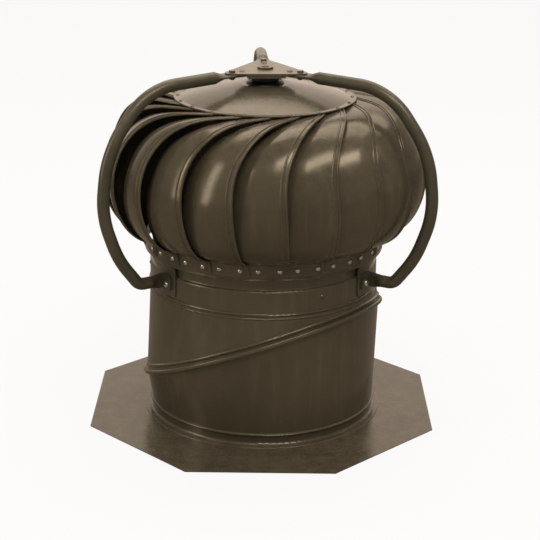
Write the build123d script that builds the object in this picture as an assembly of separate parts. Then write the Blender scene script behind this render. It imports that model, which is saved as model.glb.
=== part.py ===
from build123d import *
import os
from math import cos, degrees, pi, radians, sin, tan

# Roof turbine ventilator for a 12 inch throat, braced from outside. Millimetres, +Z up.
# Origin: centre of the duct opening, on the underside of the flashing.
# Azimuths are counted from the front (-Y) towards the right (+X).

# ---- driving dimensions: sheet metal ----
sheet = 0.8                      # duct, ring, crown and vane sheet
body_gap = 0.3                   # between parts that move past each other
seat_gap = 0.15                  # under heads and laps that only touch
bead = 2.0                       # radius of a rolled bead on the duct
fine_bead = 1.6                  # radius of the smaller beads
past = 2.0                       # how far a cutting tool runs past a face
bend_share = 0.45                # room that an easy bend takes of the shorter run beside it

# fixed base
duct_radius = 152.4              # outside of the round duct, 12 inch throat
flashing_across = 457.2          # octagonal flashing, across its flats
flashing_sides = 8
flashing_thickness = 1.0
flashing_step = 1.4              # pressed ring round the collar's root
flashing_step_width = 9.0
step_rounding = 1.1
collar_height = 20.0             # drawn collar that stands up inside the lower duct
collar_fillet = 3.5
cuff_bottom = 14.5               # lower edge of the duct over the collar
cuff_height = 6.0

# swivel seam and upper duct
seam_height = 101.0              # centre of the slanted swivel seam
seam_tilt = 22.5                 # half the steepest bend of the duct
seam_azimuth = 52.0              # azimuth of the seam's high side
seam_flange = 3.4                # how far the lower duct's flange stands out
seam_hem = 2.4                   # height of that folded flange
hook_wall = 1.4
hook_rounding = 2.1
seam_ridge_rise = 6.5            # rolled ridge above the hooked edge
seam_ridge = 2.4
seam_ridge_inset = 1.3
seam_to_throat = 80.0            # seam centre up to the throat's lower edge

# throat
throat_height = 32.0             # lower edge up to the shoulder
shoulder_rise = 2.0
shoulder_bend = 2.4
neck_step = 3.4                  # how much narrower the neck is than the duct
neck_height = 34.0
throat_lap = 9.0                 # upper duct pushed up inside the throat
lap_bead_drop = 4.0              # rolled bead on the upper duct, just below the throat

# brace arms
arm_azimuths = {"right": 63, "rear": 183, "left": 303}
foot_sides = {"right": -1, "rear": 1, "left": 1}    # which way each pressed foot is bent
arm_tube_radius = 7.95
arm_tube_wall = 1.2
arm_flat = 3.2                   # thickness of a pressed tube end
arm_flat_rounding = 1.4          # its rounded edges
arm_flat_width = 22.0
arm_flat_start = 26.0            # inner end of the pressed part under the bracket
arm_flat_end = 61.5              # where that part begins to open into the tube
arm_tube_start = 77.0
arm_bow = 89.1                   # how far the arm's widest point stands out from the duct
arm_drop = 1.0                   # tube's centre below its pressed end at the bracket
arm_outline = [(66.0, 0.985), (9.5, 0.692), (0.0, 0.391), (22.0, 0.148), (51.0, 0.0)]
# each corner: distance in from the widest point, share of the height from foot to bracket
arm_foot_rise = 24.0             # tube's centre above the throat's lower edge at the foot
foot_pad_height = 20.0
foot_reach = 12.0                # foot screw, sideways from the arm's own plane
foot_pad_end = 8.5               # pad past the foot screw
foot_corner = 5.0
foot_press_start = 5.0           # fully pressed tube, measured from the pad
foot_press_length = 12.0         # where the tube changes from round to flat
foot_plate_width = 29.0
foot_plate_height = 41.0
foot_plate_thickness = 2.0
foot_plate_rise = 6.0            # plate's lower edge above the throat's lower edge
foot_screw_drop = 2.0            # below the tube's centre
foot_screw_radius = 3.0
foot_screw_head = 4.4
foot_screw_end = 2.0             # thread past the nut
foot_nut_size = 5.0              # centre to a flat
foot_nut_thickness = 4.0

# top bracket and its fasteners
bracket_clearance = 16.8         # crown's flat top up to the bracket
bracket_thickness = 2.0
bracket_reach = 60.0             # centre to corner
bracket_corner = 9.0
bracket_lip = 4.0
bracket_lip_share = 0.6          # lip length as a share of the side
inner_rivet_circle = 35.5
inner_rivet_shank = 2.4
inner_rivet_head = 4.4
outer_screw_circle = 50.5
outer_screw_shank = 2.5
outer_screw_size = 4.0           # hexagon, centre to a flat
outer_screw_head = 2.8
outer_nut_height = 3.2
rivet_tail = 1.2                 # closed end of a rivet, past the grip

# bearings and shaft
shaft_radius = 4.75
running_gap = 0.05               # radial, shaft in a bush
shaft_chamfer = 0.8
shaft_head_gap = 4.0             # shaft's end below the bracket
shaft_tail = 6.0                 # shaft below the lower boss
ring_groove_rise = 4.0
ring_groove_depth = 0.75
retaining_ring_thickness = 1.0
retaining_ring_reach = 3.0
retaining_ring_opening = 6.4
bush_wall = 3.2
bush_flange = 2.0
upper_bush_length = 10.4
washer_thickness = 1.2
shaft_collar_radius = 11.0
shaft_collar_height = 10.0
collar_screw_radius = 2.0
collar_screw_sink = 0.8
socket_size = 1.1
socket_depth = 1.5
housing_radius = 19.0
housing_top_radius = 14.3
housing_shoulder = 6.0
housing_chamfer = 2.0
slinger_gap = 0.6                # housing above the slinger
stud_radius = 5.0
stud_rise = 0.6
stud_chamfer = 1.0
nut_radius = 10.3
nut_height = 2.6
knurl_count = 36
knurl_radius = 0.8
knurl_depth = 0.45

# lower spider
spider_azimuths = (30, 150, 270)
spider_rise = 27.0               # legs above the throat's lower edge
spider_boss_drop = 9.0           # boss below the legs
spider_boss_height = 20.0
spider_boss_radius = 13.0
spider_leg_width = 20.0
spider_leg_thickness = 2.0
spider_leg_start = 5.0
spider_rib = 3.0
spider_rib_width = 1.5
spider_rib_share = 0.82          # rib length as a share of the leg
spider_tab_drop = 14.5
spider_rivet_drop = 7.0
spider_rivet_shank = 2.0
spider_rivet_head = 3.2

# rotor: ring, hub and crown
ring_clearance = 9.0             # ring's outside beyond the neck
ring_drop = 16.4                 # ring's lower edge below the neck's top
ring_hem = 2.4
ring_height = 19.4               # lower edge up to the flare
ring_flare = 4.0
ring_flare_rise = 6.0
rotor_height = 201.4             # ring's lower edge up to the crown's rim
crown_rim_radius = 119.5
crown_rim_width = 9.0
crown_rim_bead = 0.8
crown_rise = 17.2                # rim up to the flat top
crown_flat_radius = 32.0
crown_dome_share = 0.63          # height of the dome's middle as a share of that rise
hub_flange_thickness = 2.5
hub_boss_radius = 12.0
hub_boss_length = 22.0
hub_rivet_count = 4
hub_rivet_shank = 1.6
hub_rivet_head = 2.6
slinger_radius = 25.0
slinger_height = 2.8
slinger_edge = 1.2
slinger_taper = 0.6

# rotor: vanes
vane_count = 20
vane_overlap = 3.0               # degrees that a vane reaches under its neighbour
vane_bulge = 60.8                # vane's widest point beyond the duct
vane_outline = [(25.2, 0.161), (0.3, 0.350), (0.0, 0.584), (19.0, 0.841)]
# each corner: distance in from the widest point, share of the rotor's height
vane_foot_rise = 5.9             # vane's foot above the ring's lower edge
vane_foot_bend = 8.0
vane_shoulder = 40.5             # last bend, beyond the crown's rim
vane_tip = 11.5                  # tip, inside the crown's rim
vane_tuck = 24.0                 # how deep the covered edge lies at the belly
vane_lap = 1.3                   # the same at the foot and at the crown
vane_curl = 1.9                  # how late across its width a vane turns inward
vane_tuck_skew = 1.25            # moves the deepest tuck up towards the shoulder
vane_tuck_shape = 1.35
vane_mid_width = 0.6             # where across its width a vane's curve is set
vane_bead_width = 3.0            # hem and swaged bead along the free edge
vane_bead_rise = 1.2
vane_edge_azimuth = -10.0        # free edge of the first vane at its belly
vane_foot_sweep = 4.5
vane_crown_sweep = 31.0
vane_crown_swing = 2.35          # how late that sweep sets in
vane_stations = (0, 0.015, 0.03, 0.045, 0.06, 0.09, 0.14, 0.24, 0.38, 0.56, 0.72, 0.84, 0.93, 1)
belly_station = 0.5
crown_station = 0.96

# rotor: rivets
foot_rivet_rise = 12.4           # above the ring's lower edge
foot_rivet_insets = (12.4, 40.0)    # from a vane's free edge, along the ring
foot_rivet_head = 3.0
foot_rivet_shank = 1.6
crown_rivet_inset = 5.5          # in from the crown's rim
crown_rivet_azimuth = 0.2
crown_rivet_head = 2.5
crown_rivet_shank = 1.2

# ---- places that follow from the sizes above ----
cuff_top = cuff_bottom + cuff_height
throat_bottom = seam_height + seam_to_throat
throat_shoulder = throat_bottom + throat_height
neck_radius = duct_radius - neck_step
neck_top = throat_shoulder + neck_height
foot_height = throat_bottom + arm_foot_rise
foot_screw_height = foot_height - foot_screw_drop
ring_radius = neck_radius + ring_clearance
ring_bottom = neck_top - ring_drop
ring_flare_start = ring_bottom + ring_height
crown_rim_top = ring_bottom + rotor_height
crown_flat_top = crown_rim_top + crown_rise
bracket_bottom = crown_flat_top + bracket_clearance
bracket_top = bracket_bottom + bracket_thickness
flat_middle = bracket_bottom - arm_flat / 2
spider_leg_height = throat_bottom + spider_rise
spider_boss_bottom = spider_leg_height - spider_boss_drop
half_sheet = sheet / 2

os.makedirs("parts", exist_ok=True)


def save(name, *solids):
    """Write one node, made of one or more separate solids."""
    shape = solids[0] if len(solids) == 1 else Compound(children=[Part() + one for one in solids])
    export_step(shape, f"parts/{name}.step")


def at_azimuth(shape, azimuth):
    """Turn a shape built along +X round to an azimuth."""
    return Rot(0, 0, azimuth - 90) * shape


def disc(radius, bottom, top):
    """Round bar standing on +Z."""
    return Pos(0, 0, bottom) * Cylinder(radius, top - bottom, align=(Align.CENTER, Align.CENTER, Align.MIN))


def tube(outer, inner, bottom, top):
    """Round sleeve standing on +Z."""
    return disc(outer, bottom, top) - disc(inner, bottom, top)


def radial_pin(radius, height, inner, outer):
    """Round pin along +X from one radius to another."""
    plane = Plane(origin=(inner, 0, height), z_dir=(1, 0, 0))
    return extrude(plane * Circle(radius), outer - inner)


def rivet(head_radius, shank_radius, grip):
    """Domed rivet, head seated on z = 0 and shank pointing down."""
    rise = head_radius / 2
    sphere = (head_radius**2 + rise**2) / (2 * rise)
    dome = Pos(0, 0, rise - sphere) * Sphere(sphere) & disc(head_radius, 0, rise)
    return dome + disc(shank_radius, -grip, 0)


def hoop(radius, height, size):
    """Half-round bead that stands out of a wall of the given radius."""
    return Pos(0, 0, height) * Torus(radius, size) - disc(radius - half_sheet, height - size, height + size)


# ---- fixed base: flashing and lower duct ----
collar_outer = duct_radius - sheet
collar_inner = collar_outer - sheet
step_top = flashing_thickness + flashing_step
half_side = 180 / flashing_sides
octagon = RegularPolygon(flashing_across / 2, flashing_sides, major_radius=False, rotation=half_side)
flashing = extrude(octagon, flashing_thickness)
flashing += disc(duct_radius + flashing_step_width, 0, step_top)
flashing += disc(collar_outer, 0, collar_height)
step_edges = flashing.edges().filter_by(GeomType.CIRCLE).filter_by_position(Axis.Z, step_top, step_top)
flashing = fillet(step_edges.sort_by(SortBy.RADIUS)[0], collar_fillet)
step_edges = flashing.edges().filter_by(GeomType.CIRCLE).filter_by_position(Axis.Z, step_top, step_top)
flashing = fillet(step_edges.sort_by(SortBy.RADIUS)[-1], step_rounding)
flashing -= disc(collar_inner, -past, collar_height + past)
save("flashing_plate", flashing)

uphill = Vector(sin(radians(seam_azimuth)), -cos(radians(seam_azimuth)), 0)
upright = Vector(0, 0, 1)
tilt = radians(seam_tilt)
seam_radius = duct_radius / cos(tilt)


def seam_level(rise):
    """Plane parallel to the seam, centred on the duct's axis and raised along the seam's own axis."""
    return Plane(
        origin=(0, 0, seam_height + rise / cos(tilt)),
        x_dir=uphill * cos(tilt) + upright * sin(tilt),
        z_dir=upright * cos(tilt) - uphill * sin(tilt),
    )


seam_plane = seam_level(0)


def level(height):
    """Horizontal plane whose X runs uphill, so that loft sections line up."""
    return Plane(origin=(0, 0, height), x_dir=uphill, z_dir=upright)


def duct_core(lower, lower_radius, upper, upper_radius):
    """Solid between two round sections."""
    return loft([lower * Circle(lower_radius), upper * Circle(upper_radius)])


half_gap = body_gap / 2
flange_top = -half_gap
flange_bottom = flange_top - seam_hem
flange_radius = seam_radius + seam_flange
seam_bore = seam_radius - sheet
hook_inner = flange_radius + body_gap
hook_radius = hook_inner + hook_wall
hook_top = half_gap + hook_wall
hook_floor = flange_bottom - body_gap
hook_bottom = hook_floor - hook_wall
hook_lip = seam_radius - hook_bottom * tan(tilt) + body_gap

lower_elbow = duct_core(level(cuff_top), duct_radius, seam_plane.offset(flange_top - sheet), seam_radius)
lower_elbow += disc(duct_radius, cuff_bottom, cuff_top)
lower_elbow += hoop(duct_radius, cuff_bottom + bead, bead)
lower_elbow += seam_plane * disc(flange_radius, flange_bottom, flange_top)
lower_elbow -= duct_core(level(cuff_top), duct_radius - sheet, seam_plane.offset(flange_top), seam_bore)
lower_elbow -= disc(duct_radius - sheet, cuff_bottom, cuff_top)
save("lower_elbow", lower_elbow)

# ---- swivelling body: upper duct and throat ----
lap_radius = duct_radius - sheet
lap_bottom = throat_bottom - throat_lap
lap_top = throat_bottom + throat_lap
hook_section = make_face(Polyline(
    (0, half_gap), (hook_inner, half_gap), (hook_inner, hook_floor), (hook_lip, hook_floor),
    (hook_lip, hook_bottom), (hook_radius, hook_bottom), (hook_radius, hook_top), (0, hook_top), close=True,
))
hook_section = fillet(hook_section.vertices().group_by(Axis.X)[-1], hook_rounding)
ridge = seam_level(seam_ridge_rise) * Torus(seam_radius - seam_ridge_inset, seam_ridge)
upper_elbow = duct_core(seam_plane.offset(half_gap), seam_radius, level(throat_bottom), duct_radius)
upper_elbow += disc(lap_radius, lap_bottom, lap_top)
upper_elbow += seam_plane * revolve(Plane.XZ * hook_section, Axis.Z)
upper_elbow += ridge
upper_elbow += hoop(duct_radius, throat_bottom - lap_bead_drop, fine_bead)
upper_elbow -= duct_core(seam_plane.offset(half_gap), seam_bore, level(throat_bottom - sheet), lap_radius)
upper_elbow -= disc(lap_radius - sheet, lap_bottom, lap_top)
save("upper_elbow", upper_elbow)

throat_line = FilletPolyline(
    (duct_radius - half_sheet, throat_bottom), (duct_radius - half_sheet, throat_shoulder),
    (neck_radius - half_sheet, throat_shoulder + shoulder_rise), (neck_radius - half_sheet, neck_top),
    radius=shoulder_bend,
)
throat = revolve(Plane.XZ * trace(throat_line, sheet), Axis.Z)
throat += hoop(duct_radius, throat_bottom + bead, bead)
foot_plate_outer = duct_radius + foot_plate_thickness
foot_turn = degrees(foot_reach / foot_plate_outer)
foot_azimuths = {side: azimuth + foot_sides[side] * foot_turn for side, azimuth in arm_azimuths.items()}
spider_rivet_height = spider_leg_height - spider_rivet_drop
pad_outer = foot_plate_outer + arm_flat
foot_screw_hole = radial_pin(foot_screw_radius, foot_screw_height, neck_radius - past, pad_outer + past)
tab_inner = duct_radius - sheet - spider_leg_thickness
spider_hole = radial_pin(spider_rivet_shank, spider_rivet_height, tab_inner - past, duct_radius + past)
for azimuth in foot_azimuths.values():
    throat -= at_azimuth(foot_screw_hole, azimuth)
for azimuth in spider_azimuths:
    throat -= at_azimuth(spider_hole, azimuth)
save("throat_collar", throat)

# ---- brace feet: plates under the arms' pressed pads ----
foot_plate_bottom = throat_bottom + foot_plate_rise
foot_plate_arc = degrees(foot_plate_width / duct_radius)


def curved_plate(inner, thickness, bottom, height, start, arc):
    """Plate bent to the duct's curve, from a start angle over an arc."""
    section = Pos(inner + thickness / 2, bottom + height / 2) * Rectangle(thickness, height)
    return Rot(0, 0, start) * revolve(Plane.XZ * section, Axis.Z, arc)


plate_start = -foot_plate_arc / 2
foot_plate = curved_plate(
    duct_radius, foot_plate_thickness, foot_plate_bottom, foot_plate_height, plate_start, foot_plate_arc
)
foot_plate = fillet(foot_plate.edges().filter_by(GeomType.LINE).group_by(Edge.length)[0], foot_corner)
foot_plate -= foot_screw_hole
for side, azimuth in foot_azimuths.items():
    save(f"foot_plate_{side}", at_azimuth(foot_plate, azimuth))

# ---- brace arms: bent tube, pressed flat under the bracket and pressed upright at the foot ----
pad_inner = foot_plate_outer
press_start = pad_outer + foot_press_start
tube_end = press_start + foot_press_length
arm_top = flat_middle - arm_drop
arm_widest = duct_radius + arm_bow
arm_corners = [(arm_tube_start, arm_top)]
for inset, share in arm_outline:
    arm_corners.append((arm_widest - inset, foot_height + share * (arm_top - foot_height)))
arm_corners.append((tube_end, foot_height))


def easy_radii(corners):
    """Largest comfortable bend at each inner corner of a path."""
    radii = []
    for before, corner, after in zip(corners, corners[1:], corners[2:]):
        first, second = Vector(*corner) - Vector(*before), Vector(*after) - Vector(*corner)
        turn = radians(first.get_angle(second))
        radii.append(bend_share * min(first.length, second.length) / tan(turn / 2))
    return radii


arm_line = Plane.XZ * FilletPolyline(*arm_corners, radius=easy_radii(arm_corners))
arm_mouth = Plane(origin=arm_line @ 0, z_dir=arm_line % 0)
arm = sweep(arm_mouth * (Circle(arm_tube_radius) - Circle(arm_tube_radius - arm_tube_wall)), path=arm_line)

flat_end = Plane(origin=(arm_flat_end, 0, flat_middle), x_dir=(0, 1, 0), z_dir=(1, 0, 0))
flat_section = flat_end * RectangleRounded(arm_flat_width, arm_flat, arm_flat_rounding)
round_section = Plane(origin=arm_line @ 0, x_dir=(0, 1, 0), z_dir=arm_line % 0) * Circle(arm_tube_radius)
arm += loft([flat_section, round_section])
arm += extrude(flat_section, arm_flat_end - arm_flat_start, dir=(-1, 0, 0))
for circle, shank in ((inner_rivet_circle, inner_rivet_shank), (outer_screw_circle, outer_screw_shank)):
    arm -= Pos(circle, 0, flat_middle) * Cylinder(shank, 2 * arm_flat)

press_plane = Plane(origin=(press_start, 0, foot_height), x_dir=(0, 1, 0), z_dir=(1, 0, 0))
press_section = press_plane * RectangleRounded(arm_flat, foot_pad_height, arm_flat_rounding)
tube_mouth = Plane(origin=(tube_end, 0, foot_height), x_dir=(0, 1, 0), z_dir=(1, 0, 0))
foot = loft([press_section, tube_mouth * Circle(arm_tube_radius)])
foot += extrude(press_section, press_start - pad_inner - half_sheet, dir=(-1, 0, 0))
pad_lead = degrees(arm_flat / 2 / pad_inner)
pad_arc = pad_lead + degrees((foot_reach + foot_pad_end) / pad_inner)
pad_bottom = foot_height - foot_pad_height / 2
pad = curved_plate(pad_inner, arm_flat, pad_bottom, foot_pad_height, -pad_lead, pad_arc)
pad_ends = pad.edges().filter_by(GeomType.LINE).group_by(Edge.length)[0]
foot += fillet(pad_ends.group_by(Axis.Y)[-1], foot_corner)
foot -= Rot(0, 0, foot_turn) * foot_screw_hole
mirrored_foot = mirror(foot, Plane.XZ)
for side, azimuth in arm_azimuths.items():
    own_foot = foot if foot_sides[side] > 0 else mirrored_foot
    save(f"brace_arm_{side}", at_azimuth(arm + own_foot, azimuth))

# Foot screws run from the pad, through plate and throat, into nuts inside the throat.
nut_inner = duct_radius - sheet - foot_nut_thickness
foot_screw = radial_pin(foot_screw_radius, foot_screw_height, nut_inner - foot_screw_end, pad_outer)
screw_seat = Plane(origin=(pad_outer, 0, foot_screw_height), z_dir=(1, 0, 0))
foot_screw += screw_seat * rivet(foot_screw_head, foot_screw_radius, arm_flat)
nut_seat = Plane(origin=(nut_inner, 0, foot_screw_height), z_dir=(1, 0, 0))
foot_nut = extrude(nut_seat * RegularPolygon(foot_nut_size, 6, major_radius=False), foot_nut_thickness)
nut_reach = 2 * foot_nut_size
foot_nut &= disc(duct_radius - sheet, foot_screw_height - nut_reach, foot_screw_height + nut_reach)
foot_nut -= radial_pin(foot_screw_radius, foot_screw_height, nut_inner - past, duct_radius + past)
save("foot_screws", *[at_azimuth(foot_screw, azimuth) for azimuth in foot_azimuths.values()])
save("foot_nuts", *[at_azimuth(foot_nut, azimuth) for azimuth in foot_azimuths.values()])

# ---- top bracket: triangle over the three pressed arm ends ----
bracket_outline = RegularPolygon(bracket_reach + bracket_corner, 3)
bracket_outline = fillet(bracket_outline.vertices(), bracket_corner)
bracket = Pos(0, 0, bracket_bottom) * extrude(bracket_outline, bracket_thickness)
edge_distance = (bracket_reach + bracket_corner) / 2
lip_length = 2 * edge_distance * tan(radians(60)) * bracket_lip_share - arm_flat_width
lip = Pos(-edge_distance + bracket_thickness / 2, 0, bracket_bottom - bracket_lip / 2) * Box(
    bracket_thickness, lip_length, bracket_lip
)
stud_hole = disc(stud_radius, bracket_bottom - past, bracket_top + past)
for turn in (0, 120, 240):
    bracket += Rot(0, 0, turn) * lip
    for circle, shank in ((inner_rivet_circle, inner_rivet_shank), (outer_screw_circle, outer_screw_shank)):
        bracket -= Rot(0, 0, turn) * Pos(circle, 0, bracket_bottom) * Cylinder(shank, 4 * bracket_thickness)
bracket -= stud_hole
save("top_bracket", at_azimuth(bracket, arm_azimuths["right"]))

flat_underside = bracket_bottom - arm_flat
clamp_grip = bracket_top - flat_underside
arm_rivet = rivet(inner_rivet_head, inner_rivet_shank, clamp_grip)
arm_rivet += disc(inner_rivet_shank + rivet_tail, -clamp_grip - rivet_tail, -clamp_grip)
arm_rivet = Pos(inner_rivet_circle, 0, bracket_top) * arm_rivet
hexagon = RegularPolygon(outer_screw_size, 6, major_radius=False)
bracket_screw = extrude(hexagon, outer_screw_head)
bracket_screw += disc(outer_screw_shank, -clamp_grip - outer_nut_height - rivet_tail, 0)
bracket_screw = Pos(outer_screw_circle, 0, bracket_top) * bracket_screw
bracket_nut = extrude(hexagon, -outer_nut_height) - disc(outer_screw_shank, -outer_nut_height - past, past)
bracket_nut = Pos(outer_screw_circle, 0, flat_underside) * bracket_nut
save("arm_rivets", *[at_azimuth(arm_rivet, azimuth) for azimuth in arm_azimuths.values()])
save("bracket_screws", *[at_azimuth(bracket_screw, azimuth) for azimuth in arm_azimuths.values()])
save("bracket_nuts", *[at_azimuth(bracket_nut, azimuth) for azimuth in arm_azimuths.values()])

# ---- upper bearing ----
bush_inner = shaft_radius + running_gap
bush_outer = bush_inner + bush_wall
slinger_top = crown_flat_top + slinger_height
housing_bottom = slinger_top + slinger_gap
bush_bottom = housing_bottom + seat_gap
bush_top = bush_bottom + upper_bush_length
shaft_top = bracket_bottom - shaft_head_gap
stud_top = bracket_top + nut_height + stud_rise
housing_section = Polyline(
    (0, housing_bottom), (housing_radius - housing_chamfer, housing_bottom),
    (housing_radius, housing_bottom + housing_chamfer), (housing_radius, bracket_bottom - housing_shoulder),
    (housing_top_radius, bracket_bottom), (stud_radius, bracket_bottom),
    (stud_radius, stud_top - stud_chamfer), (stud_radius - stud_chamfer, stud_top), (0, stud_top), close=True,
)
housing = revolve(Plane.XZ * make_face(housing_section), Axis.Z)
housing -= disc(bush_outer, housing_bottom - past, bush_top)
save("bearing_housing", housing)
save("upper_bush", tube(bush_outer, bush_inner, bush_bottom, bush_top))

nut = tube(nut_radius, stud_radius, bracket_top, bracket_top + nut_height)
knurl_axis = nut_radius + knurl_radius - knurl_depth
knurl = Pos(knurl_axis, 0, bracket_top + nut_height / 2) * Cylinder(knurl_radius, nut_height)
for step in range(knurl_count):
    nut -= Rot(0, 0, step * 360 / knurl_count) * knurl
save("centre_nut", nut)

# ---- lower bearing in the throat ----
boss_top = spider_boss_bottom + spider_boss_height
tab_outer = duct_radius - sheet
leg_top = spider_leg_height + spider_leg_thickness
tab_bottom = spider_leg_height - spider_tab_drop
leg = Pos((tab_outer + spider_leg_start) / 2, 0, spider_leg_height + spider_leg_thickness / 2) * Box(
    tab_outer + spider_leg_thickness, spider_leg_width, spider_leg_thickness
)
rib = Pos(tab_outer / 2, (spider_leg_width - spider_rib_width) / 2, spider_leg_height - spider_rib / 2) * Box(
    tab_outer * spider_rib_share, spider_rib_width, spider_rib
)
leg += rib + mirror(rib, Plane.XZ)
tab_centre = Pos(tab_outer - spider_leg_thickness / 2, 0, (tab_bottom + leg_top) / 2)
leg += tab_centre * Box(spider_leg_thickness + sheet, spider_leg_width, leg_top - tab_bottom)
leg &= disc(tab_outer, tab_bottom, leg_top)
leg -= spider_hole
spider = disc(spider_boss_radius, spider_boss_bottom, boss_top)
for azimuth in spider_azimuths:
    spider += at_azimuth(leg, azimuth)
spider -= disc(bush_outer, spider_boss_bottom - past, boss_top + past)
save("lower_spider", spider)

spider_rivet_grip = spider_leg_thickness + 2 * sheet + rivet_tail
spider_rivet = Plane(origin=(duct_radius, 0, spider_rivet_height), z_dir=(1, 0, 0)) * rivet(
    spider_rivet_head, spider_rivet_shank, spider_rivet_grip
)
save("spider_rivets", *[at_azimuth(spider_rivet, azimuth) for azimuth in spider_azimuths])

flange_face = boss_top + bush_flange
washer_top = flange_face + washer_thickness
collar_bottom = washer_top + body_gap
collar_top = collar_bottom + shaft_collar_height
lower_bush = disc(bush_outer, spider_boss_bottom, boss_top)
lower_bush += disc(shaft_collar_radius, boss_top, flange_face)
lower_bush -= disc(bush_inner, spider_boss_bottom - past, flange_face + past)
save("lower_bush", lower_bush)
save("thrust_washer", tube(shaft_collar_radius, bush_inner + body_gap, flange_face, washer_top))

# ---- rotor: shaft and hub ----
shaft_bottom = spider_boss_bottom - shaft_tail
groove_bottom = shaft_bottom + ring_groove_rise - retaining_ring_thickness
groove_radius = shaft_radius - ring_groove_depth
shaft = disc(shaft_radius, shaft_bottom, shaft_top)
shaft = chamfer(shaft.edges().filter_by(GeomType.CIRCLE), shaft_chamfer)
shaft -= tube(shaft_radius + past, groove_radius, groove_bottom, groove_bottom + retaining_ring_thickness)
save("shaft", shaft)

clip_radius = shaft_radius + retaining_ring_reach
clip = tube(clip_radius, groove_radius, groove_bottom, groove_bottom + retaining_ring_thickness)
clip -= Pos(clip_radius, 0, groove_bottom) * Box(
    2 * shaft_radius, retaining_ring_opening, 4 * retaining_ring_thickness
)
save("retaining_ring", clip)

collar_middle = (collar_bottom + collar_top) / 2
screw_face = shaft_collar_radius - collar_screw_sink
collar_screw = radial_pin(collar_screw_radius, collar_middle, shaft_radius + seat_gap, screw_face)
screw_socket = Plane(origin=(screw_face, 0, collar_middle), z_dir=(1, 0, 0))
collar_screw -= extrude(screw_socket * RegularPolygon(socket_size, 6), -socket_depth)
collar = tube(shaft_collar_radius, shaft_radius, collar_bottom, collar_top)
collar -= radial_pin(collar_screw_radius, collar_middle, 0, shaft_collar_radius + past)
save("shaft_collar", collar)
save("collar_screw", collar_screw)

crown_flat_underside = crown_flat_top - sheet
hub = disc(hub_boss_radius, slinger_top - hub_boss_length, slinger_top)
hub += disc(crown_flat_radius, crown_flat_underside - hub_flange_thickness, crown_flat_underside)
hub -= disc(shaft_radius, slinger_top - hub_boss_length - past, slinger_top + past)
hub_rivet_circle = (slinger_radius + crown_flat_radius) / 2
hub_rivet = Pos(hub_rivet_circle, 0, crown_flat_top) * rivet(
    hub_rivet_head, hub_rivet_shank, sheet + hub_flange_thickness + rivet_tail
)
hub_rivet_places = [Rot(0, 0, (step + 0.5) * 360 / hub_rivet_count) for step in range(hub_rivet_count)]
hub_hole_length = 4 * (sheet + hub_flange_thickness)
hub_hole = Pos(hub_rivet_circle, 0, crown_flat_top) * Cylinder(hub_rivet_shank, hub_hole_length)
for place in hub_rivet_places:
    hub -= place * hub_hole
save("rotor_hub", hub)
save("hub_rivets", *[place * hub_rivet for place in hub_rivet_places])

slinger_section = Polyline(
    (hub_boss_radius, crown_flat_top), (slinger_radius, crown_flat_top),
    (slinger_radius - slinger_taper, crown_flat_top + slinger_edge), (housing_radius, slinger_top),
    (hub_boss_radius, slinger_top), close=True,
)
save("hub_slinger", revolve(Plane.XZ * make_face(slinger_section), Axis.Z))

# ---- rotor: crown ----
rim_inner = crown_rim_radius - crown_rim_width
dome_mid_radius = (crown_flat_radius + rim_inner) / 2
dome_mid_height = crown_rim_top + crown_rise * crown_dome_share


def crown_outline(drop):
    """Crown's upper outline, lowered by a sheet for its underside."""
    flat_part = Line((hub_boss_radius, crown_flat_top - drop), (crown_flat_radius, crown_flat_top - drop))
    dome_part = ThreePointArc(
        (crown_flat_radius, crown_flat_top - drop), (dome_mid_radius, dome_mid_height - drop),
        (rim_inner, crown_rim_top - drop),
    )
    rim_part = Line((rim_inner, crown_rim_top - drop), (crown_rim_radius, crown_rim_top - drop))
    return [flat_part, dome_part, rim_part]


crown_section = make_face(crown_outline(0) + crown_outline(sheet) + [
    Line((hub_boss_radius, crown_flat_top), (hub_boss_radius, crown_flat_top - sheet)),
    Line((crown_rim_radius, crown_rim_top), (crown_rim_radius, crown_rim_top - sheet)),
])
crown = revolve(Plane.XZ * crown_section, Axis.Z)
rim_bead = Pos(0, 0, crown_rim_top) * Torus(crown_rim_radius - crown_rim_bead, crown_rim_bead)
crown += rim_bead - disc(crown_rim_radius + past, crown_rim_top - past, crown_rim_top - half_sheet)
for place in hub_rivet_places:
    crown -= place * hub_hole
vane_pitch = 360 / vane_count
crown_rivet_circle = crown_rim_radius - crown_rivet_inset
crown_hole_length = 4 * vane_bead_width
crown_rivet_hole = Pos(crown_rivet_circle, 0, crown_rim_top) * Cylinder(crown_rivet_shank, crown_hole_length)
for step in range(vane_count):
    crown -= at_azimuth(crown_rivet_hole, crown_rivet_azimuth + step * vane_pitch)
save("crown_cap", crown)

# ---- rotor: lower ring ----
ring_line = ring_radius - half_sheet
ring_path = Polyline(
    (ring_line + fine_bead, ring_bottom + half_sheet), (ring_line, ring_bottom + ring_hem),
    (ring_line, ring_flare_start), (ring_line + ring_flare, ring_flare_start + ring_flare_rise),
)
ring = revolve(Plane.XZ * trace(ring_path, sheet), Axis.Z)

# ---- rotor: vanes ----
vane_foot_radius = ring_radius + sheet + vane_lap + seat_gap
vane_foot_bottom = ring_bottom + vane_foot_rise
vane_crown_height = crown_rim_top - sheet - vane_bead_rise - seat_gap
vane_widest = duct_radius + vane_bulge
vane_corners = [(vane_foot_radius, vane_foot_bottom), (vane_foot_radius, ring_flare_start + half_sheet)]
for inset, share in vane_outline:
    vane_corners.append((vane_widest - inset, ring_bottom + share * rotor_height))
vane_corners.append((crown_rim_radius + vane_shoulder, vane_crown_height))
vane_corners.append((crown_rim_radius - vane_tip, vane_crown_height))
vane_bends = easy_radii(vane_corners)
vane_bends[0] = vane_foot_bend
vane_profile = Plane.XZ * FilletPolyline(*vane_corners, radius=vane_bends)
vane_width_angle = vane_pitch + vane_overlap


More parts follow.
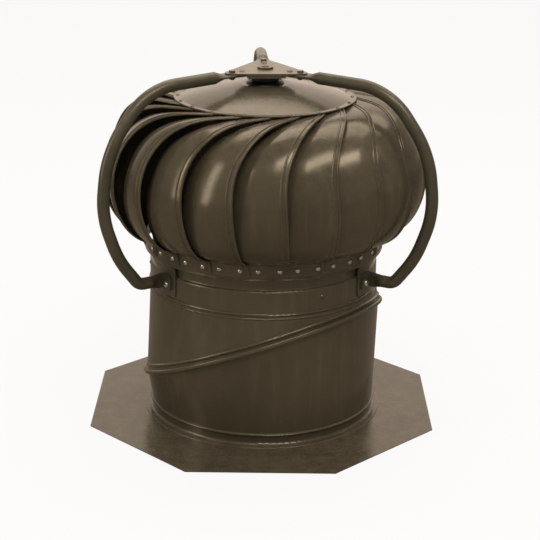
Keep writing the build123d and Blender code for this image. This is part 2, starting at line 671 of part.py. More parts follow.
def edge_sweep(station):
    """Degrees that the free edge has swept round, from the belly towards foot and crown."""
    if station < belly_station:
        return vane_foot_sweep * (1 - station / belly_station) ** 2
    upward = (station - belly_station) / (crown_station - belly_station)
    return vane_crown_sweep * upward**vane_crown_swing


def vane_outward(station):
    """Outward normal of the rotor's outline, in the plane of +X."""
    along = vane_profile % station
    return Vector(along.Z, 0, -along.X)


def vane_point(station, across):
    """Point on a vane's outer face; across runs from the free edge (0) to the covered edge (1)."""
    fullness = sin(pi * station**vane_tuck_skew) ** vane_tuck_shape
    depth = vane_lap + (vane_tuck - vane_lap) * fullness
    point = vane_profile @ station - vane_outward(station) * (depth * across**vane_curl)
    return point.rotate(Axis.Z, edge_sweep(station) - across * vane_width_angle)


def vane_section(station):
    """Closed cross-section of a vane: a thin curved strip with a hem and a bead along its free edge."""
    free, covered = vane_point(station, 0), vane_point(station, 1)
    outward = vane_outward(station).rotate(Axis.Z, edge_sweep(station) - vane_width_angle / 2)
    chord = covered - free
    plane = Plane(origin=free, x_dir=chord, z_dir=chord.cross(outward))

    def outer(across):
        local = plane.to_local_coords(vane_point(station, across))
        return Vector(local.X, local.Y)

    bead_share = vane_bead_width / chord.length
    inward, rise = Vector(0, -sheet), Vector(0, vane_bead_rise)
    tip, hem, valley, step = [outer(bead_share * count) for count in range(4)]
    middle, end = outer(vane_mid_width), outer(1)
    outline = [
        ThreePointArc(tip, (tip + hem) / 2 + rise, hem), Line(hem, valley),
        ThreePointArc(valley, (valley + step) / 2 + rise, step),
        ThreePointArc(step, middle, end), Line(end, end + inward),
        ThreePointArc(end + inward, middle + inward, tip + inward), Line(tip + inward, tip),
    ]
    return plane * make_face(outline)


vane = loft([vane_section(station) for station in vane_stations])

# Feet: two rivets in each, seated square on the vane's outer face.
foot_rivet_height = ring_bottom + foot_rivet_rise
foot_station = (foot_rivet_height - vane_foot_bottom) / vane_profile.length
foot_rivet = []
for inset in foot_rivet_insets:
    inset_angle = degrees(inset / vane_foot_radius)
    across = inset_angle / vane_width_angle
    seat_radius = vane_foot_radius - vane_lap * across**vane_curl + seat_gap
    seat = Plane(origin=(seat_radius, 0, foot_rivet_height), z_dir=(1, 0, 0))
    turn = Rot(0, 0, edge_sweep(foot_station) - inset_angle)
    grip = seat_radius - ring_radius + sheet + rivet_tail
    foot_rivet.append(turn * (seat * rivet(foot_rivet_head, foot_rivet_shank, grip)))
    foot_hole = turn * radial_pin(foot_rivet_shank, foot_rivet_height, ring_radius - past, seat_radius + past)
    vane -= foot_hole
    for step in range(vane_count):
        ring -= at_azimuth(foot_hole, vane_edge_azimuth + step * vane_pitch)
save("lower_ring", ring)

crown_rivet_grip = crown_rim_top - vane_crown_height + vane_lap + sheet + rivet_tail
crown_rivet = rivet(crown_rivet_head, crown_rivet_shank, crown_rivet_grip)
crown_rivet = Pos(crown_rivet_circle, 0, crown_rim_top) * crown_rivet
crown_turn = crown_rivet_azimuth - vane_edge_azimuth + vane_pitch
vane -= Rot(0, 0, crown_turn) * crown_rivet_hole
foot_rivets = []
crown_rivets = []
for step in range(vane_count):
    azimuth = vane_edge_azimuth + step * vane_pitch
    save(f"vane_{step + 1:02d}", at_azimuth(vane, azimuth))
    foot_rivets += [at_azimuth(one, azimuth) for one in foot_rivet]
    crown_rivets.append(at_azimuth(crown_rivet, azimuth + crown_turn))
save("foot_rivets", *foot_rivets)
save("crown_rivets", *crown_rivets)
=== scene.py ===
from math import cos, pi, radians, sin

import bmesh
import bpy
from mathutils import Matrix, Vector


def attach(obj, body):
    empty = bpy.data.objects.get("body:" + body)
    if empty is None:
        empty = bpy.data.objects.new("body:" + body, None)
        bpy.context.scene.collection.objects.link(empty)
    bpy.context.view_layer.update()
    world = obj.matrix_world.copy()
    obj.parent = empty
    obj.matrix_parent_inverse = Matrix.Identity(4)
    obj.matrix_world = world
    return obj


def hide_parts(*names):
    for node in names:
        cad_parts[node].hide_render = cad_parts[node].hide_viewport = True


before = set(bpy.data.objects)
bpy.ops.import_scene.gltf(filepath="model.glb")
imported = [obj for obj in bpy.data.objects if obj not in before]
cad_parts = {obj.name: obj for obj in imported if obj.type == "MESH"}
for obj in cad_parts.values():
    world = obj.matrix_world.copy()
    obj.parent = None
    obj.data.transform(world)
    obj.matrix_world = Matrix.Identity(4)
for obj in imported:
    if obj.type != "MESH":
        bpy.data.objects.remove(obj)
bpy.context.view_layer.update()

# ---------------------------------------------------------------------------
# Camera: a long lens a little above the rotor's crown, square to the front of
# the ventilator and rolled by well under a degree.
# ---------------------------------------------------------------------------
camera_aim = Vector((0.0090, 0.0, 0.200))
camera_distance = 2.1236
camera_elevation = radians(18.742)
camera_roll = radians(-0.672)
picture_width_px = 540
focal_px = 1568.8
centre_lift_px = 6.08
sensor_mm = 36.0

back = Vector((0, -cos(camera_elevation), sin(camera_elevation)))
side = Vector((1, 0, 0))
rise = back.cross(side)
rolled_side = side * cos(camera_roll) - rise * sin(camera_roll)
rolled_rise = side * sin(camera_roll) + rise * cos(camera_roll)
camera_data = bpy.data.cameras.new("camera")
camera_data.sensor_width = sensor_mm
camera_data.lens = focal_px / picture_width_px * sensor_mm
camera_data.shift_y = -centre_lift_px / picture_width_px
camera = bpy.data.objects.new("camera", camera_data)
facing = Matrix((rolled_side, rolled_rise, back)).transposed().to_4x4()
camera.matrix_world = Matrix.Translation(camera_aim + back * camera_distance) @ facing
bpy.context.scene.collection.objects.link(camera)
bpy.context.scene.camera = camera
bpy.context.scene.view_settings.view_transform = "Standard"

# ---------------------------------------------------------------------------
# Studio room: white to the eye. As light it is soft and a little warm, and in
# gloss it is a pale backdrop behind the ventilator and a dim room before it.
# ---------------------------------------------------------------------------
backdrop_colour = (1.0, 0.83, 0.70, 1)
dim_room_colour = (0.26, 0.22, 0.18, 1)
ceiling_colour = (1.15, 1.08, 0.98, 1)
horizon_colour = (0.27, 0.25, 0.23, 1)
lamp_colour = (1, 0.88, 0.72)
backdrop_start, backdrop_full = 0.55, 0.95
horizon_height, ceiling_height = 0.0, 0.9
room_strength = 1.25
mix_share, mix_first, mix_second, mix_result = 0, 6, 7, 2  # a colour mix node's sockets

world = bpy.data.worlds.new("studio")
bpy.context.scene.world = world
world.use_nodes = True
world_tree = world.node_tree
world_tree.nodes.clear()
world_out = world_tree.nodes.new("ShaderNodeOutputWorld")
seen_white = world_tree.nodes.new("ShaderNodeBackground")
seen_white.inputs["Color"].default_value = (1, 1, 1, 1)
fill_light = world_tree.nodes.new("ShaderNodeBackground")
room_height = world_tree.nodes.new("ShaderNodeMapRange")
room_height.inputs["From Min"].default_value = horizon_height
room_height.inputs["From Max"].default_value = ceiling_height
fill_colour = world_tree.nodes.new("ShaderNodeMix")
fill_colour.data_type = "RGBA"
fill_colour.inputs[mix_first].default_value = horizon_colour
fill_colour.inputs[mix_second].default_value = ceiling_colour
room = world_tree.nodes.new("ShaderNodeBackground")
room.inputs["Strength"].default_value = room_strength
direction = world_tree.nodes.new("ShaderNodeTexCoord")
compass = world_tree.nodes.new("ShaderNodeSeparateXYZ")
room_depth = world_tree.nodes.new("ShaderNodeMapRange")
room_depth.interpolation_type = "SMOOTHSTEP"
room_depth.inputs["From Min"].default_value = backdrop_start
room_depth.inputs["From Max"].default_value = backdrop_full
room_colour = world_tree.nodes.new("ShaderNodeMix")
room_colour.data_type = "RGBA"
room_colour.inputs[mix_first].default_value = dim_room_colour
room_colour.inputs[mix_second].default_value = backdrop_colour
ray = world_tree.nodes.new("ShaderNodeLightPath")
gloss_mix = world_tree.nodes.new("ShaderNodeMixShader")
world_mix = world_tree.nodes.new("ShaderNodeMixShader")
world_tree.links.new(direction.outputs["Generated"], compass.inputs["Vector"])
world_tree.links.new(compass.outputs["Y"], room_depth.inputs["Value"])
world_tree.links.new(room_depth.outputs["Result"], room_colour.inputs[mix_share])
world_tree.links.new(room_colour.outputs[mix_result], room.inputs["Color"])
world_tree.links.new(compass.outputs["Z"], room_height.inputs["Value"])
world_tree.links.new(room_height.outputs["Result"], fill_colour.inputs[mix_share])
world_tree.links.new(fill_colour.outputs[mix_result], fill_light.inputs["Color"])
world_tree.links.new(ray.outputs["Is Glossy Ray"], gloss_mix.inputs["Fac"])
world_tree.links.new(fill_light.outputs[0], gloss_mix.inputs[1])
world_tree.links.new(room.outputs[0], gloss_mix.inputs[2])
world_tree.links.new(ray.outputs["Is Camera Ray"], world_mix.inputs["Fac"])
world_tree.links.new(gloss_mix.outputs[0], world_mix.inputs[1])
world_tree.links.new(seen_white.outputs[0], world_mix.inputs[2])
world_tree.links.new(world_mix.outputs[0], world_out.inputs["Surface"])


def softbox(name, place, aim, width, height, power):
    """Rectangular studio lamp that faces a point."""
    lamp = bpy.data.lights.new(name, "AREA")
    lamp.shape = "RECTANGLE"
    lamp.size = width
    lamp.size_y = height
    lamp.energy = power
    lamp.color = lamp_colour
    lamp_object = bpy.data.objects.new(name, lamp)
    lamp_object.location = place
    away = Vector(place) - Vector(aim)
    lamp_object.rotation_euler = away.to_track_quat("Z", "Y").to_euler()
    bpy.context.scene.collection.objects.link(lamp_object)


softbox("overhead_softbox", place=(0.2, 0.9, 2.2), aim=(0, 0, 0.35), width=2.4, height=1.4, power=26)
softbox("front_softbox", place=(0.5, -1.5, 2.3), aim=(0, 0, 0.3), width=2.2, height=0.6, power=34)
softbox("left_softbox", place=(-2.3, -0.9, 1.1), aim=(0, 0, 0.25), width=0.6, height=1.8, power=18)

# ---------------------------------------------------------------------------
# Studio floor: a pale sweep that keeps the soft shadow under the flashing. Its
# glow is seen by the eye alone, and it is dark in the metal's gloss.
# ---------------------------------------------------------------------------
floor_drop = 0.0004
floor_half_width = 9.0
floor_glow_share = 0.88
floor_colour, floor_colour_in_gloss = (0.56, 0.54, 0.52, 1), (0.17, 0.145, 0.12, 1)

floor_mesh = bpy.data.meshes.new("floor")
shape = bmesh.new()
bmesh.ops.create_grid(shape, x_segments=1, y_segments=1, size=floor_half_width)
bmesh.ops.translate(shape, verts=shape.verts, vec=(0, 0, -floor_drop))
shape.to_mesh(floor_mesh)
shape.free()
floor = bpy.data.objects.new("floor", floor_mesh)
bpy.context.scene.collection.objects.link(floor)
floor_paint = bpy.data.materials.new("studio_floor")
floor_paint.use_nodes = True
floor_tree = floor_paint.node_tree
floor_tree.nodes.clear()
floor_out = floor_tree.nodes.new("ShaderNodeOutputMaterial")
floor_matte = floor_tree.nodes.new("ShaderNodeBsdfDiffuse")
floor_tone = floor_tree.nodes.new("ShaderNodeMix")
floor_tone.data_type = "RGBA"
floor_tone.inputs[mix_first].default_value = floor_colour
floor_tone.inputs[mix_second].default_value = floor_colour_in_gloss
floor_glow = floor_tree.nodes.new("ShaderNodeEmission")
floor_ray = floor_tree.nodes.new("ShaderNodeLightPath")
floor_share = floor_tree.nodes.new("ShaderNodeMath")
floor_share.operation = "MULTIPLY"
floor_share.inputs[1].default_value = floor_glow_share
floor_mix = floor_tree.nodes.new("ShaderNodeMixShader")
floor_tree.links.new(floor_ray.outputs["Is Camera Ray"], floor_share.inputs[0])
floor_tree.links.new(floor_ray.outputs["Is Glossy Ray"], floor_tone.inputs[mix_share])
floor_tree.links.new(floor_tone.outputs[mix_result], floor_matte.inputs["Color"])
floor_tree.links.new(floor_share.outputs[0], floor_mix.inputs["Fac"])
floor_tree.links.new(floor_matte.outputs[0], floor_mix.inputs[1])
floor_tree.links.new(floor_glow.outputs[0], floor_mix.inputs[2])
floor_tree.links.new(floor_mix.outputs[0], floor_out.inputs["Surface"])
floor_mesh.materials.append(floor_paint)

# ---------------------------------------------------------------------------
# Flashing: octagonal sheet with a drawn collar, in baked dark bronze paint. The flat sheet is
# slightly wavy, and its up-facing faces are painted paler, partly as dust and partly as painted sheen
# of the overhead light.
# ---------------------------------------------------------------------------


def new_group(name, inputs, outputs):
    """Shader node group with named sockets, as (group, its inputs' sockets, its outputs' sockets)."""
    group = bpy.data.node_groups.new(name, "ShaderNodeTree")
    for socket, kind, value in inputs:
        made = group.interface.new_socket(socket, in_out="INPUT", socket_type=kind)
        made.default_value = value
    for socket, kind in outputs:
        group.interface.new_socket(socket, in_out="OUTPUT", socket_type=kind)
    given = group.nodes.new("NodeGroupInput").outputs
    results = group.nodes.new("NodeGroupOutput").inputs
    return group, given, results


def noise(tree, scale, detail, roughness=0.5, stretch=(1, 1, 1)):
    """Noise on object coordinates, as its value socket."""
    place = tree.nodes.new("ShaderNodeTexCoord")
    mapping = tree.nodes.new("ShaderNodeMapping")
    mapping.inputs["Scale"].default_value = stretch
    texture = tree.nodes.new("ShaderNodeTexNoise")
    texture.inputs["Scale"].default_value = scale
    texture.inputs["Detail"].default_value = detail
    texture.inputs["Roughness"].default_value = roughness
    tree.links.new(place.outputs["Object"], mapping.inputs["Vector"])
    tree.links.new(mapping.outputs["Vector"], texture.inputs["Vector"])
    return texture.outputs["Fac"]


def spread(tree, source, low, high, new_low=0.0, new_high=1.0):
    """Map a value's range onto another, clamped at both ends."""
    node = tree.nodes.new("ShaderNodeMapRange")
    node.inputs["From Min"].default_value = low
    node.inputs["From Max"].default_value = high
    node.inputs["To Min"].default_value = new_low
    node.inputs["To Max"].default_value = new_high
    tree.links.new(source, node.inputs["Value"])
    return node.outputs["Result"]


def maths(tree, operation, first, second):
    """Two values or sockets combined."""
    node = tree.nodes.new("ShaderNodeMath")
    node.operation = operation
    for place, value in enumerate((first, second)):
        if isinstance(value, (int, float)):
            node.inputs[place].default_value = value
        else:
            tree.links.new(value, node.inputs[place])
    return node.outputs[0]


def blend_colours(tree, share, first, second):
    """Mix two colour sockets by a value socket."""
    node = tree.nodes.new("ShaderNodeMix")
    node.data_type = "RGBA"
    tree.links.new(share, node.inputs[mix_share])
    tree.links.new(first, node.inputs[mix_first])
    tree.links.new(second, node.inputs[mix_second])
    return node.outputs[mix_result]


def product(tree, first, *others):
    """Values or sockets multiplied together."""
    for other in others:
        first = maths(tree, "MULTIPLY", first, other)
    return first


# Dust with painted sheen, and run marks: faces that look up are painted paler, partly as settled dust
# and partly as painted sheen of the overhead light; marks run down the walls.
weather, weather_in, weather_out = new_group(
    "dust_sheen_and_run_marks",
    [("Dust and sheen", "NodeSocketFloat", 0.1), ("Run marks", "NodeSocketFloat", 0.1)],
    [("Cover", "NodeSocketFloat")],
)
run_mark_stretch = (1, 1, 0.06)
weather_facing = weather.nodes.new("ShaderNodeNewGeometry")
weather_axes = weather.nodes.new("ShaderNodeSeparateXYZ")
weather.links.new(weather_facing.outputs["Normal"], weather_axes.inputs["Vector"])
upward = weather_axes.outputs["Z"]
# Painted sheen: the upward-facing mask makes top faces paler, standing partly for dust and partly for
# overhead light.
facing_up_dust_and_sheen = spread(weather, upward, low=0.1, high=1.0, new_low=0.12, new_high=1.0)
patches = noise(weather, scale=55.0, detail=6.0, roughness=0.75)
patches = spread(weather, patches, low=0.36, high=0.72)
settled_dust_and_sheen = product(weather, facing_up_dust_and_sheen, patches, weather_in["Dust and sheen"])
wall = maths(weather, "ABSOLUTE", upward, 0)
wall = spread(weather, wall, low=0.2, high=0.7, new_low=1.0, new_high=0.0)
runs = noise(weather, scale=90.0, detail=3.0, roughness=0.6, stretch=run_mark_stretch)
runs = spread(weather, runs, low=0.52, high=0.75)
runs = product(weather, runs, wall, weather_in["Run marks"])
weather.links.new(maths(weather, "ADD", settled_dust_and_sheen, runs), weather_out["Cover"])

# Rubbed edges: where the surface turns sharply, broken up so that no edge is even.
rubbed, rubbed_in, rubbed_out = new_group(
    "rubbed_edges",
    [("Reach", "NodeSocketFloat", 0.0008), ("Wear", "NodeSocketFloat", 0.5)],
    [("Mask", "NodeSocketFloat")],
)
rounded = rubbed.nodes.new("ShaderNodeBevel")
rounded.samples = 4
true_facing = rubbed.nodes.new("ShaderNodeNewGeometry")
agreement = rubbed.nodes.new("ShaderNodeVectorMath")
agreement.operation = "DOT_PRODUCT"
rubbed.links.new(rubbed_in["Reach"], rounded.inputs["Radius"])
rubbed.links.new(rounded.outputs["Normal"], agreement.inputs[0])
rubbed.links.new(true_facing.outputs["Normal"], agreement.inputs[1])
turning = spread(rubbed, agreement.outputs["Value"], low=0.96, high=0.7)
worn = noise(rubbed, scale=160.0, detail=4.0, roughness=0.7)
worn = spread(rubbed, worn, low=0.42, high=0.66)
rubbed.links.new(product(rubbed, turning, worn, rubbed_in["Wear"]), rubbed_out["Mask"])

# Baked coating: two close tones in clouds, fine specks, orange peel and a slow wave.
coating, coating_in, coating_out = new_group(
    "baked_coating",
    [
        ("Colour", "NodeSocketColor", (0.05, 0.04, 0.03, 1)),
        ("Second colour", "NodeSocketColor", (0.06, 0.045, 0.03, 1)),
        ("Dust colour", "NodeSocketColor", (0.3, 0.27, 0.23, 1)),
        ("Cover", "NodeSocketFloat", 0.0),
        ("Worn", "NodeSocketFloat", 0.0),
        ("Roughness", "NodeSocketFloat", 0.35),
        ("Peel", "NodeSocketFloat", 0.2),
        ("Wave", "NodeSocketFloat", 1.0),
    ],
    [("Colour", "NodeSocketColor"), ("Roughness", "NodeSocketFloat"), ("Height", "NodeSocketFloat")],
)
dusty_roughness = 0.3
clouds = spread(coating, noise(coating, scale=9.0, detail=4.0), low=0.35, high=0.65)
specks = noise(coating, scale=520.0, detail=2.0)
specks = spread(coating, specks, low=0.68, high=0.8, new_high=0.16)
toned = blend_colours(coating, clouds, coating_in["Colour"], coating_in["Second colour"])
for pale in (specks, coating_in["Cover"], coating_in["Worn"]):
    toned = blend_colours(coating, pale, toned, coating_in["Dust colour"])
haze = noise(coating, scale=38.0, detail=5.0, roughness=0.7)
haze = spread(coating, haze, low=0.3, high=0.7, new_low=-0.04, new_high=0.06)
rough = maths(coating, "ADD", coating_in["Roughness"], haze)
rough = maths(coating, "ADD", rough, product(coating, coating_in["Cover"], dusty_roughness))
ripple = product(coating, noise(coating, scale=260.0, detail=1.0), coating_in["Peel"])
swell = product(coating, noise(coating, scale=12.0, detail=1.0), coating_in["Wave"])
coating.links.new(toned, coating_out["Colour"])
coating.links.new(rough, coating_out["Roughness"])
coating.links.new(maths(coating, "ADD", ripple, swell), coating_out["Height"])

relief_strength, relief_distance = 0.12, 0.002


def finished(
    name, colour, second, dust_wear_and_sheen_colour, dust_and_sheen, roughness, peel=0.1, wave=1.0, runs=0.0,
    wear=0.0, wear_reach=0.0008, metallic=0.0, specular=0.5,
):
    """Material made from the coating, the dust with painted sheen and run marks, and the rubbed
    edges.
    """
    material = bpy.data.materials.new(name)
    material.use_nodes = True
    tree = material.node_tree
    surface = tree.nodes["Principled BSDF"]
    surface.inputs["Metallic"].default_value = metallic
    surface.inputs["Specular IOR Level"].default_value = specular
    coat = tree.nodes.new("ShaderNodeGroup")
    coat.node_tree = coating
    coat.inputs["Colour"].default_value = (*colour, 1)
    coat.inputs["Second colour"].default_value = (*second, 1)
    coat.inputs["Dust colour"].default_value = (*dust_wear_and_sheen_colour, 1)
    coat.inputs["Roughness"].default_value = roughness
    coat.inputs["Peel"].default_value = peel
    coat.inputs["Wave"].default_value = wave
    dust_sheen_and_runs = tree.nodes.new("ShaderNodeGroup")
    dust_sheen_and_runs.node_tree = weather
    dust_sheen_and_runs.inputs["Dust and sheen"].default_value = dust_and_sheen
    dust_sheen_and_runs.inputs["Run marks"].default_value = runs
    tree.links.new(dust_sheen_and_runs.outputs["Cover"], coat.inputs["Cover"])
    if wear:
        edges = tree.nodes.new("ShaderNodeGroup")
        edges.node_tree = rubbed
        edges.inputs["Reach"].default_value = wear_reach
        edges.inputs["Wear"].default_value = wear
        tree.links.new(edges.outputs["Mask"], coat.inputs["Worn"])
    relief = tree.nodes.new("ShaderNodeBump")
    relief.inputs["Strength"].default_value = relief_strength
    relief.inputs["Distance"].default_value = relief_distance
    tree.links.new(coat.outputs["Colour"], surface.inputs["Base Color"])
    tree.links.new(coat.outputs["Roughness"], surface.inputs["Roughness"])
    tree.links.new(coat.outputs["Height"], relief.inputs["Height"])
    tree.links.new(relief.outputs["Normal"], surface.inputs["Normal"])
    return material


def give(material, *names):
    """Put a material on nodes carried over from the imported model."""
    for name in names:
        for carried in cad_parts[name].material_slots:
            carried.material = material


bronze = (0.060, 0.052, 0.034)
bronze_pale = (0.076, 0.065, 0.043)
# Pale tan for dust, worn edges and specks, and also the painted sheen on up-facing faces.
tan_dust_wear_and_sheen = (0.36, 0.29, 0.22)
flashing_paint = finished(
    "flashing_paint", bronze, bronze_pale, tan_dust_wear_and_sheen,
    dust_and_sheen=0.16, roughness=0.2, wave=1.6, wear=0.5, wear_reach=0.0012,
    metallic=0.35, specular=0.45,
)
give(flashing_paint, "flashing_plate")

# ---------------------------------------------------------------------------
# Duct: lower and upper elbow and the throat, joined by the slanted swivel seam.
# Same paint on rolled sheet, smoother than the flashing and with run marks.
# ---------------------------------------------------------------------------
duct_paint = finished(
    "duct_paint", bronze, bronze_pale, tan_dust_wear_and_sheen,
    dust_and_sheen=0.14, roughness=0.19, wave=1.3, runs=0.05, wear=0.35, wear_reach=0.001,
    metallic=0.35, specular=0.45,
)
give(duct_paint, "lower_elbow", "upper_elbow", "throat_collar", "spider_rivets")

# ---------------------------------------------------------------------------
# Brace arms: bent steel tube with pressed ends, sprayed a shade greener than the
# sheet, over pressed foot plates. Paint is rubbed off along the pressed edges.
# ---------------------------------------------------------------------------
arm_paint = finished(
    "arm_paint", (0.048, 0.045, 0.030), (0.060, 0.054, 0.036), (0.33, 0.28, 0.21),
    dust_and_sheen=0.22, roughness=0.3, peel=0.5, wave=0.5, runs=0.04, wear=0.7, wear_reach=0.0009,
    metallic=0.25, specular=0.45,
)
give(arm_paint, "brace_arm_left", "brace_arm_right", "brace_arm_rear")
give(arm_paint, "foot_plate_left", "foot_plate_right", "foot_plate_rear")

# ---------------------------------------------------------------------------
# Foot screws: plated pan heads with a round drive, one in each pressed foot, with
# a threaded end that comes through the square-set nut inside the throat.
# ---------------------------------------------------------------------------
foot_screw_azimuths = (58.547, 187.453, 307.453)
foot_screw_seat = 0.1576
foot_screw_height = 0.2030
screw_radius, screw_length = 0.0030, 0.0120
screw_head_radius, screw_head_height = 0.0044, 0.0024
screw_head_curve = ((0.62, 0.97), (0.88, 0.72), (1, 0.3))  # shares of the head's radius and height
screw_segments = 18
drive_radius, drive_depth = 0.0016, 0.0015
thread_start, thread_pitch, thread_depth, thread_turns = 0.0098, 0.0008, 0.0003, 3
weld_distance = 0.00001
sharp_edge_angle = radians(35)


def upright_place(azimuth, radius, height):
    """Matrix that keeps +Z up at a radius, height and azimuth round the duct's axis."""
    turn = Matrix.Rotation(radians(azimuth - 90), 4, "Z")
    return turn @ Matrix.Translation((radius, 0, height))


def radial_place(azimuth, radius, height):
    """Matrix that points +Z out from the duct's axis; azimuths run from the front to the right."""
    return upright_place(azimuth, radius, height) @ Matrix.Rotation(pi / 2, 4, "Y")


def turned(outline, segments, places):
    """Turn an outline of (radius, height) points about Z and set one copy at each place."""
    blank = bmesh.new()
    corners = [blank.verts.new((radius, 0, height)) for radius, height in outline]
    lines = [blank.edges.new(pair) for pair in zip(corners, corners[1:])]
    bmesh.ops.spin(
        blank, geom=corners + lines, axis=(0, 0, 1), cent=(0, 0, 0),
        angle=2 * pi, steps=segments, use_merge=True,
    )
    bmesh.ops.remove_doubles(blank, verts=blank.verts, dist=weld_distance)
    shape = bmesh.new()
    copy = bpy.data.meshes.new("blank")
    for place in places:
        blank.to_mesh(copy)
        copy.transform(place)
        shape.from_mesh(copy)
    blank.free()
    bpy.data.meshes.remove(copy)
    return shape


def piece(name, shape, material, body, slot, *replaced):
    """Finish a mesh as a piece that rides on a body and stands for CAD nodes."""
    bmesh.ops.recalc_face_normals(shape, faces=shape.faces)
    mesh = bpy.data.meshes.new(name)
    shape.to_mesh(mesh)
    shape.free()
    mesh.polygons.foreach_set("use_smooth", [True] * len(mesh.polygons))
    mesh.set_sharp_from_angle(angle=sharp_edge_angle)
    mesh.materials.append(material)
    made = bpy.data.objects.new(name, mesh)
    bpy.context.scene.collection.objects.link(made)
    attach(made, body)
    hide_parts(*replaced)


bright_metal = finished(
    "bright_metal", (0.80, 0.78, 0.74), (0.66, 0.64, 0.60), (0.30, 0.26, 0.21),
    dust_and_sheen=0.3, roughness=0.22, peel=0.3, wave=0.2, metallic=1.0,
)
screw_head = [(out * screw_head_radius, up * screw_head_height) for out, up in screw_head_curve]
drive_floor = screw_head_height - drive_depth
thread_root = screw_radius - thread_depth
thread = []
for turn in range(thread_turns):
    thread.append((screw_radius, -thread_start - turn * thread_pitch))
    thread.append((thread_root, -thread_start - (turn + 0.5) * thread_pitch))
screw_outline = [
    (0, drive_floor), (drive_radius, drive_floor), (drive_radius, screw_head_height),
    *screw_head, (screw_head_radius, 0), (screw_radius, 0),
    *thread, (thread_root, -screw_length), (0, -screw_length),
]
screw_places = [
    radial_place(azimuth, foot_screw_seat, foot_screw_height) for azimuth in foot_screw_azimuths
]
shape = turned(screw_outline, screw_segments, screw_places)
piece("pan_head_screws", shape, bright_metal, "upper", "bright_zinc", "foot_screws")
give(bright_metal, "foot_nuts")

# ---------------------------------------------------------------------------
# Top bracket: folded triangle over the three arm ends, with its rivets, screws and nuts. It lies flat
# to the sky, so it is painted palest: paler paint, the heaviest dust and painted sheen of the
# overhead light on its up-facing faces.
# ---------------------------------------------------------------------------
# Paler paint and heavy pale tan on up-facing faces: partly dust, partly painted sheen of the overhead
# light.
bracket_paint_with_sheen = finished(
    "bracket_paint_with_sheen", (0.070, 0.060, 0.042), (0.090, 0.076, 0.054), (0.46, 0.38, 0.30),
    dust_and_sheen=0.42, roughness=0.26, peel=0.3, wave=0.8, wear=0.8, wear_reach=0.001,
    metallic=0.35, specular=0.45,
)
give(bracket_paint_with_sheen, "top_bracket", "arm_rivets", "bracket_screws", "bracket_nuts")

# ---------------------------------------------------------------------------
# Upper bearing: black moulded housing under the bracket, its bronze bush and the
# thin knurled nut of dark plated steel on its stud.
# ---------------------------------------------------------------------------
black_moulding = finished(
    "black_moulding", (0.010, 0.010, 0.010), (0.014, 0.014, 0.013), (0.17, 0.15, 0.13),
    dust_and_sheen=0.2, roughness=0.42, peel=1.2, wave=0.2, wear=0.4, wear_reach=0.001, specular=0.4,
)
sintered_bronze = finished(
    "sintered_bronze", (0.42, 0.25, 0.10), (0.34, 0.19, 0.08), (0.15, 0.10, 0.06),
    dust_and_sheen=0.3, roughness=0.38, peel=0.9, wave=0.2, metallic=1.0,
)
nut_metal = finished(
    "nut_metal", (0.16, 0.125, 0.09), (0.11, 0.085, 0.06), (0.36, 0.30, 0.23),
    dust_and_sheen=0.2, roughness=0.3, peel=0.6, wave=0.2, wear=0.5, wear_reach=0.0005, metallic=0.8,
)
give(black_moulding, "bearing_housing")
give(sintered_bronze, "upper_bush", "lower_bush")
give(nut_metal, "centre_nut")

# ---------------------------------------------------------------------------
# Lower bearing and shaft: plated steel spider, turned shaft, collar and hub, and
# a white low-friction washer, all inside the throat and the rotor.
# ---------------------------------------------------------------------------
plain_steel = finished(
    "plain_steel", (0.40, 0.40, 0.39), (0.30, 0.30, 0.30), (0.28, 0.24, 0.20),
    dust_and_sheen=0.35, roughness=0.33, peel=0.3, wave=0.3, metallic=1.0,
)
slippery_white = finished(
    "slippery_white", (0.78, 0.78, 0.75), (0.72, 0.72, 0.69), (0.45, 0.42, 0.38),
    dust_and_sheen=0.2, roughness=0.45, peel=0.3, wave=0.2,
)
give(plain_steel, "lower_spider", "shaft", "shaft_collar", "retaining_ring", "rotor_hub")
give(slippery_white, "thrust_washer")
give(bright_metal, "collar_screw")

# ---------------------------------------------------------------------------
# Crown: spun dome with a rolled rim, riveted to the hub under a black slinger.
# Its up-facing faces are painted paler, as dust and as painted sheen of the overhead light, and its
# paint is a little rubbed on the rim.
# ---------------------------------------------------------------------------
crown_paint = finished(
    "crown_paint", (0.066, 0.057, 0.038), (0.084, 0.071, 0.048), (0.42, 0.34, 0.26),
    dust_and_sheen=0.1, roughness=0.2, wave=1.2, wear=0.8, wear_reach=0.001, metallic=0.35, specular=0.45,
)
give(crown_paint, "crown_cap", "hub_rivets")
give(black_moulding, "hub_slinger")

# ---------------------------------------------------------------------------
# Crown rivets: one blind rivet through the rim into each vane's tip, painted over,
# with the stub of its broken stem left in the middle.
# ---------------------------------------------------------------------------
vane_count = 20
vane_step = 360 / vane_count  # degrees
crown_rivet_circle = 0.1140
crown_rivet_height = 0.4320
crown_rivet_start = 0.2
rivet_segments = 12
rivet_head_curve = ((0.62, 0.93), (0.9, 0.5), (1, 0))  # shares of the head's radius and height
rivet_pit_floor, rivet_stub_top = 0.35, 0.55  # shares of the head's height
rivet_stub_tip, rivet_pit_mouth, rivet_shank = 0.6, 1.15, 1.4  # shares of the stem's radius


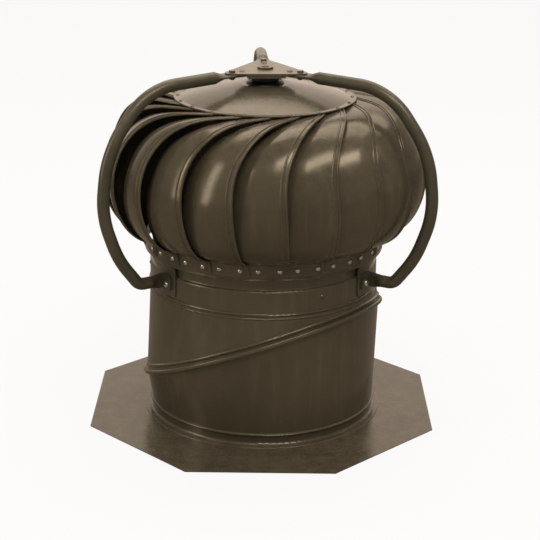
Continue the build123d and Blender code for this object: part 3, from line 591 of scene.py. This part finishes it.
def blind_rivet(head_radius, head_height, stem_radius, grip):
    """Outline of a set blind rivet: stem stub in a pit, domed head and shank."""
    pit_floor = rivet_pit_floor * head_height
    shank_radius = rivet_shank * stem_radius
    dome = [(out * head_radius, up * head_height) for out, up in rivet_head_curve]
    return [
        (0, rivet_stub_top * head_height), (rivet_stub_tip * stem_radius, pit_floor),
        (stem_radius, pit_floor), (rivet_pit_mouth * stem_radius, head_height),
        *dome, (shank_radius, 0), (shank_radius, -grip), (0, -grip),
    ]


crown_rivet = blind_rivet(head_radius=0.0026, head_height=0.0012, stem_radius=0.0009, grip=0.0060)
crown_rivet_places = [
    upright_place(crown_rivet_start + count * vane_step, crown_rivet_circle, crown_rivet_height)
    for count in range(vane_count)
]
shape = turned(crown_rivet, rivet_segments, crown_rivet_places)
piece("painted_rivets", shape, bracket_paint_with_sheen, "rotor", "bronze_paint", "crown_rivets")

# ---------------------------------------------------------------------------
# Vanes: twenty curved blades, each hemmed and swaged along its free edge. Paint
# is rubbed pale along those edges, where hands and branches touch them.
# ---------------------------------------------------------------------------
vane_paint = finished(
    "vane_paint", bronze, bronze_pale, tan_dust_wear_and_sheen,
    dust_and_sheen=0.2, roughness=0.2, wave=1.6, runs=0.06, wear=0.75, wear_reach=0.001,
    metallic=0.35, specular=0.45,
)
give(vane_paint, *[f"vane_{number:02d}" for number in range(1, vane_count + 1)])

# ---------------------------------------------------------------------------
# Ring and its rivets: painted ring round the rotor's foot, with two bright blind
# rivets through each vane's foot, set after painting.
# ---------------------------------------------------------------------------
ring_rivet_seats = ((-10.209, 0.16033), (-20.076, 0.15977))  # azimuth and radius in one vane's foot
ring_rivet_height = 0.2430

give(vane_paint, "lower_ring")
ring_rivet = blind_rivet(head_radius=0.0032, head_height=0.0015, stem_radius=0.0010, grip=0.0040)
ring_rivet_places = [
    radial_place(azimuth + count * vane_step, seat, ring_rivet_height)
    for azimuth, seat in ring_rivet_seats for count in range(vane_count)
]
shape = turned(ring_rivet, rivet_segments, ring_rivet_places)
piece("bright_rivets", shape, bright_metal, "rotor", "bright_zinc", "foot_rivets")
